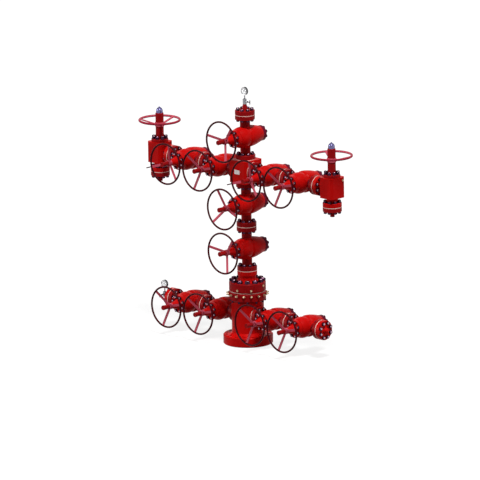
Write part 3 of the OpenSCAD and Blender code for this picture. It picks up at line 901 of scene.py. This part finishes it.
class WELLHEAD_OT_fittings(bpy.types.Operator):
    """Add port plugs, lock screw nuts, sleeve rings and the bare plate"""

    bl_idname = "wellhead.fittings"
    bl_label = "Fittings"

    def execute(self, context):
        _, finish, fittings, _ = settings(context)
        self.glands(finish, fittings)
        self.ports(finish, fittings)
        self.plate(finish, fittings)
        self.sleeve_rings(finish, fittings)
        return {"FINISHED"}

    def glands(self, finish, fittings):
        """A nut around the root of each lock screw."""
        walls = node_walls("tubing_head")
        level = middle("lock_screws").z
        far = 2 * edge("lock_screws", RIGHT)
        places = []
        for i in range(fittings.screws):
            turn = math.tau * (i + 0.5) / fittings.screws
            out = Vector((math.cos(turn), math.sin(turn), 0))
            places.append((wall_met(walls, out * far + UP * level, -out), out))
        shape = open_nut(fittings.gland_flats, fittings.gland_h)
        # The gland nuts wear the deeper red of painted shade
        repeated_piece("screw_glands", places, shape, painted_shade_enamel(finish))

    def ports(self, finish, fittings):
        """Plugs in the test ports of the adapter flange and of the right choke."""
        reach = fittings.port_out
        nut_top, shaft, tip = reach * 0.6, reach * 0.4, reach * 0.9
        shape = join_shapes([
            hex_nut(fittings.port_flats, nut_top, chamfer=reach * 0.1),
            lathe([(0, nut_top), (shaft, nut_top), (shaft, tip), (reach * 0.3, reach),
                   (0, reach)], steps=16),
        ])
        head = node_walls("head_adapter")
        joint = edge("head_adapter", DOWN)
        far = 2 * edge("head_adapter", RIGHT)
        places = []
        for turn, rise in (
            (fittings.front_turn, fittings.port_rise), (fittings.second_turn, fittings.port_rise),
            (fittings.high_turn, fittings.high_rise),
        ):
            out = Vector((math.sin(turn), -math.cos(turn), 0))
            places.append((wall_met(head, out * far + UP * (joint + rise), -out), out))
        start = Vector((2 * edge("right_choke_body", RIGHT), fittings.choke_aside,
                        middle("cross_block").z + fittings.choke_rise))
        places.append((wall_met(node_walls("right_choke_body"), start, LEFT), RIGHT))
        repeated_piece("port_plugs", places, shape, brass_metal(finish))

    def plate(self, finish, fittings):
        """Bare plate with four drive screws on the front of the cross block."""
        centre = on_axis(middle("cross_block"), Y, edge("cross_block", FRONT))
        half_w, half_h, thick = fittings.plate_w / 2, fittings.plate_h / 2, fittings.plate_t
        corner, inset = fittings.plate_h * 0.1, fittings.plate_h * 0.13
        arc_steps = 4
        outline, screws = [], []
        screw = lathe([(0, 0), (corner * 0.5, 0), (corner * 0.45, thick * 0.6), (0, thick * 0.9)],
                      steps=12)
        for right, up, start in ((1, 1, 0), (-1, 1, 90), (-1, -1, 180), (1, -1, 270)):
            middle_of_arc = centre + Vector((right * (half_w - corner), 0, up * (half_h - corner)))
            for step in range(arc_steps + 1):
                turn = math.radians(start + 90 * step / arc_steps)
                outline.append(middle_of_arc
                               + Vector((math.cos(turn), 0, math.sin(turn))) * corner)
            at = centre + Vector((right * (half_w - inset), -thick, up * (half_h - inset)))
            screws.append(placed(screw, at, FRONT))
        bare = matte("bare_plate", finish.plate, deeper(finish.plate, 0.92), rough=0.35)
        shape = join_shapes([slab(outline, thick), *screws])
        single_piece("bare_plate", shape, bare)

    def sleeve_rings(self, finish, fittings):
        """Rings around the ends of the stem sleeves, in the deeper red of painted shade."""
        depth = fittings.sleeve_ring
        places = []
        for valve in VALVES:
            tip = on_axis(valve_centre(valve), Y, edge(valve + "_bonnet", FRONT))
            places.append((tip + BACK * depth, FRONT))
        foot = places[0][0]
        aside = foot + RIGHT * edge("swab_wheel", RIGHT)
        sleeve_r = wall_met(node_walls("swab_bonnet"), aside, LEFT).x - foot.x
        lip = depth * 0.12
        inner, outer = sleeve_r - 2 * lip, sleeve_r + lip
        ring = [(inner, lip), (outer, 0), (outer, depth - lip), (sleeve_r, depth + lip),
                (inner, depth + lip)]
        repeated_piece("sleeve_ends", places, ring_lathe(ring, steps=32), painted_shade_enamel(finish))


class WELLHEAD_OT_gauges(bpy.types.Operator):
    """Add dial, marks, needle, bezel and glass to both gauges"""

    bl_idname = "wellhead.gauges"
    bl_label = "Gauges"

    def execute(self, context):
        _, finish, fittings, _ = settings(context)
        low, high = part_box("pressure_gauges")
        walls = node_walls("pressure_gauges")
        case_r, front = high[X], low[Y]
        fronts = [Vector((0, front, high[Z] - case_r)),
                  Vector((low[X] + case_r, front, low[Z] + case_r))]
        floors = [wall_met(walls, centre + FRONT * CLEAR, BACK) for centre in fronts]
        sunk = floors[0].y - front
        dial_r = wall_met(walls, floors[0] + FRONT * sunk / 2, RIGHT).x - floors[0].x
        fit, sheet = dial_r * 0.995, sunk * 0.12
        dial = lathe([(0, 0), (fit, 0), (fit, sheet), (0, sheet)], steps=64)
        bore, lip, outer, out = dial_r * 0.96, -sunk * 0.3, case_r * 0.985, fittings.bezel_out
        bezel = ring_lathe([
            (bore, lip), (fit, lip), (fit, 0), (outer, 0), (outer, out * 0.6),
            (case_r * 0.95, out), (dial_r * 1.02, out * 0.8), (bore, 0),
        ], steps=64)
        pane_r, pane_top = dial_r * 0.97, -sunk * 0.1
        pane = lathe([(0, lip), (pane_r, lip), (pane_r, pane_top), (0, pane_top)], steps=48)
        on_floor = [(floor, FRONT) for floor in floors]
        on_front = [(centre, FRONT) for centre in fronts]
        marks = [shape for floor in floors
                 for shape in self.marks(floor + FRONT * sheet, dial_r, sheet, fittings.sweep)]
        white = matte("dial_white", finish.dial, deeper(finish.dial, 0.95), rough=0.5)
        repeated_piece("gauge_dials", on_floor, dial, white)
        ink = matte("dial_ink", finish.ink, finish.ink_worn, rough=0.5)
        single_piece("gauge_marks", join_shapes(marks), ink)
        polished = metal("polished_rims", finish.bezel, finish.steel, rough=0.2, grain=50.0)
        repeated_piece("gauge_bezels", on_front, bezel, polished)
        repeated_piece("gauge_glass", on_front, pane, clear_glass("gauge_glass"))
        return {"FINISHED"}

    def marks(self, centre, dial_r, thick, sweep):
        """Scale marks, needle and hub of one dial, standing on its face.

        The ends and half widths of the bars are shares of the dial's radius.
        """
        long_mark, short_mark, scale_end = (0.7, 0.022), (0.79, 0.011), 0.87
        tail, tip, needle_half = -0.24, 0.74, 0.024
        first = math.pi / 2 + sweep / 2
        shapes = []
        for i in range(MARKS + 1):
            inner, half_width = short_mark if i % LONG_EVERY else long_mark
            turn = first - sweep * i / MARKS
            shapes.append(self.bar(centre, dial_r, turn, inner, scale_end, half_width, thick))
        needle_turn = first - sweep * READING
        shapes.append(self.bar(centre, dial_r, needle_turn, tail, tip, needle_half, thick * 1.5))
        hub_r, cap_r, shoulder, top = dial_r * 0.09, dial_r * 0.05, thick * 1.6, thick * 2.2
        hub = lathe([(0, 0), (hub_r, 0), (hub_r, shoulder), (cap_r, top), (0, top)], steps=20)
        shapes.append(placed(hub, centre, FRONT))
        return shapes

    def bar(self, centre, dial_r, turn, inner, outer, half_width, thick):
        """A thin raised bar along a radius of the dial."""
        along = Vector((math.cos(turn), 0, math.sin(turn))) * dial_r
        across = Vector((-along.z, 0, along.x)) * half_width
        near, far = centre + along * inner, centre + along * outer
        return slab([near - across, far - across, far + across, near + across], thick)


class WELLHEAD_OT_stage(bpy.types.Operator):
    """Make floor, surroundings, lamps and camera"""

    bl_idname = "wellhead.stage"
    bl_label = "Stage"

    def execute(self, context):
        _, _, _, studio = settings(context)
        self.floor(studio)
        self.surroundings(context, studio)
        self.lamps(context, studio)
        self.camera(context, studio)
        context.scene.view_settings.view_transform = "Standard"
        return {"FINISHED"}

    def seen_directly(self, tree):
        """Factor that is 1 where the background is seen: by the camera, in metal or in glass."""
        path = put(tree, "ShaderNodeLightPath")
        shown = path.outputs["Is Camera Ray"]
        for ray in ("Is Glossy Ray", "Is Transmission Ray"):
            shown = put(tree, "ShaderNodeMath", {0: shown, 1: path.outputs[ray]},
                        operation="MAXIMUM").outputs[0]
        return shown

    def floor(self, studio):
        half = studio.floor_side / 2
        ground = new_mesh_object(
            "floor", [(-half, -half, 0), (half, -half, 0), (half, half, 0), (-half, half, 0)],
            [[0, 1, 2, 3]],
        )
        material, tree, output = material_tree("pale_floor")
        shown = self.seen_directly(tree)
        grey = put(tree, "ShaderNodeBsdfDiffuse", {"Color": rgba([FLOOR_GREY] * 3)})
        level = put(tree, "ShaderNodeMath", {0: shown, 1: FLOOR_GLOW}, operation="MULTIPLY")
        glow = put(tree, "ShaderNodeEmission", {"Color": WHITE, "Strength": level.outputs[0]})
        both = put(tree, "ShaderNodeAddShader", {0: grey.outputs[0], 1: glow.outputs[0]})
        tree.links.new(both.outputs[0], output.inputs["Surface"])
        dress(ground, material)

    def surroundings(self, context, studio):
        world = bpy.data.worlds.new("white_room")
        context.scene.world = world
        world.use_nodes = True
        tree = world.node_tree
        tree.nodes.clear()
        strength = spread(tree, self.seen_directly(tree), 0.0, 1.0, (studio.sky, 1.0))
        light = put(tree, "ShaderNodeBackground", {"Color": WHITE, "Strength": strength})
        output = put(tree, "ShaderNodeOutputWorld")
        tree.links.new(light.outputs[0], output.inputs["Surface"])

    def lamps(self, context, studio):
        """Suns, each with its strength, softness in degrees and the direction it shines from."""
        for name, strength, softness, toward in (
            ("key_lamp", studio.key, 14, (0.34, -0.22, 0.91)),
            ("left_lamp", studio.left, 20, (-0.68, -0.70, 0.2)),
            ("right_lamp", studio.right, 20, (0.88, 0.42, 0.2)),
        ):
            lamp = bpy.data.lights.new(name, "SUN")
            lamp.energy = strength
            lamp.angle = math.radians(softness)
            holder = bpy.data.objects.new(name, lamp)
            holder.rotation_euler = Vector(toward).to_track_quat("Z", "Y").to_euler()
            context.scene.collection.objects.link(holder)

    def camera(self, context, studio):
        turn, level = studio.azimuth, math.cos(studio.elevation)
        back = Vector((math.sin(turn) * level, -math.cos(turn) * level,
                       math.sin(studio.elevation)))
        side = Vector((math.cos(turn), math.sin(turn), 0))
        above = back.cross(side)
        data = bpy.data.cameras.new("camera")
        data.lens = studio.lens
        distance = studio.frame_width * data.lens / data.sensor_width
        data.clip_start, data.clip_end = distance / 2, distance * 2
        aim = above * studio.aim_up - side * studio.aim_side
        holder = bpy.data.objects.new("camera", data)
        holder.location = aim + back * distance
        facing = (-back).to_track_quat("-Z", "Y").to_matrix().to_4x4()
        holder.rotation_euler = (facing @ Matrix.Rotation(studio.roll, 4, "Z")).to_euler()
        context.scene.collection.objects.link(holder)
        context.scene.camera = holder


class WELLHEAD_PT_finish(bpy.types.Panel):
    """Sidebar panel of the wellhead's finish"""

    bl_label = "Wellhead"
    bl_idname = "WELLHEAD_PT_finish"
    bl_space_type = "VIEW_3D"
    bl_region_type = "UI"
    bl_category = "Wellhead"

    def draw(self, context):
        for operator in OPERATORS:
            self.layout.operator(operator.bl_idname)
        for group in settings(context):
            box = self.layout.box()
            for name in group.__annotations__:
                box.prop(group, name)


OPERATORS = (
    WELLHEAD_OT_paint_frame,
    WELLHEAD_OT_flange_studs,
    WELLHEAD_OT_bonnet_studs,
    WELLHEAD_OT_head_studs,
    WELLHEAD_OT_fittings,
    WELLHEAD_OT_gauges,
    WELLHEAD_OT_stage,
)
GROUPS = (
    ("wellhead_bolting", WellheadBolting),
    ("wellhead_finish", WellheadFinish),
    ("wellhead_fittings", WellheadFittings),
    ("wellhead_studio", WellheadStudio),
)


def register():
    for name, group in GROUPS:
        bpy.utils.register_class(group)
        setattr(bpy.types.Scene, name, bpy.props.PointerProperty(type=group))
    for operator in OPERATORS:
        bpy.utils.register_class(operator)
    bpy.utils.register_class(WELLHEAD_PT_finish)


def unregister():
    bpy.utils.unregister_class(WELLHEAD_PT_finish)
    for operator in reversed(OPERATORS):
        bpy.utils.unregister_class(operator)
    for name, group in reversed(GROUPS):
        delattr(bpy.types.Scene, name)
        bpy.utils.unregister_class(group)


def main():
    register()
    for operator in OPERATORS:
        group, action = operator.bl_idname.split(".")
        getattr(getattr(bpy.ops, group), action)()


if __name__ == "__main__":
    main()
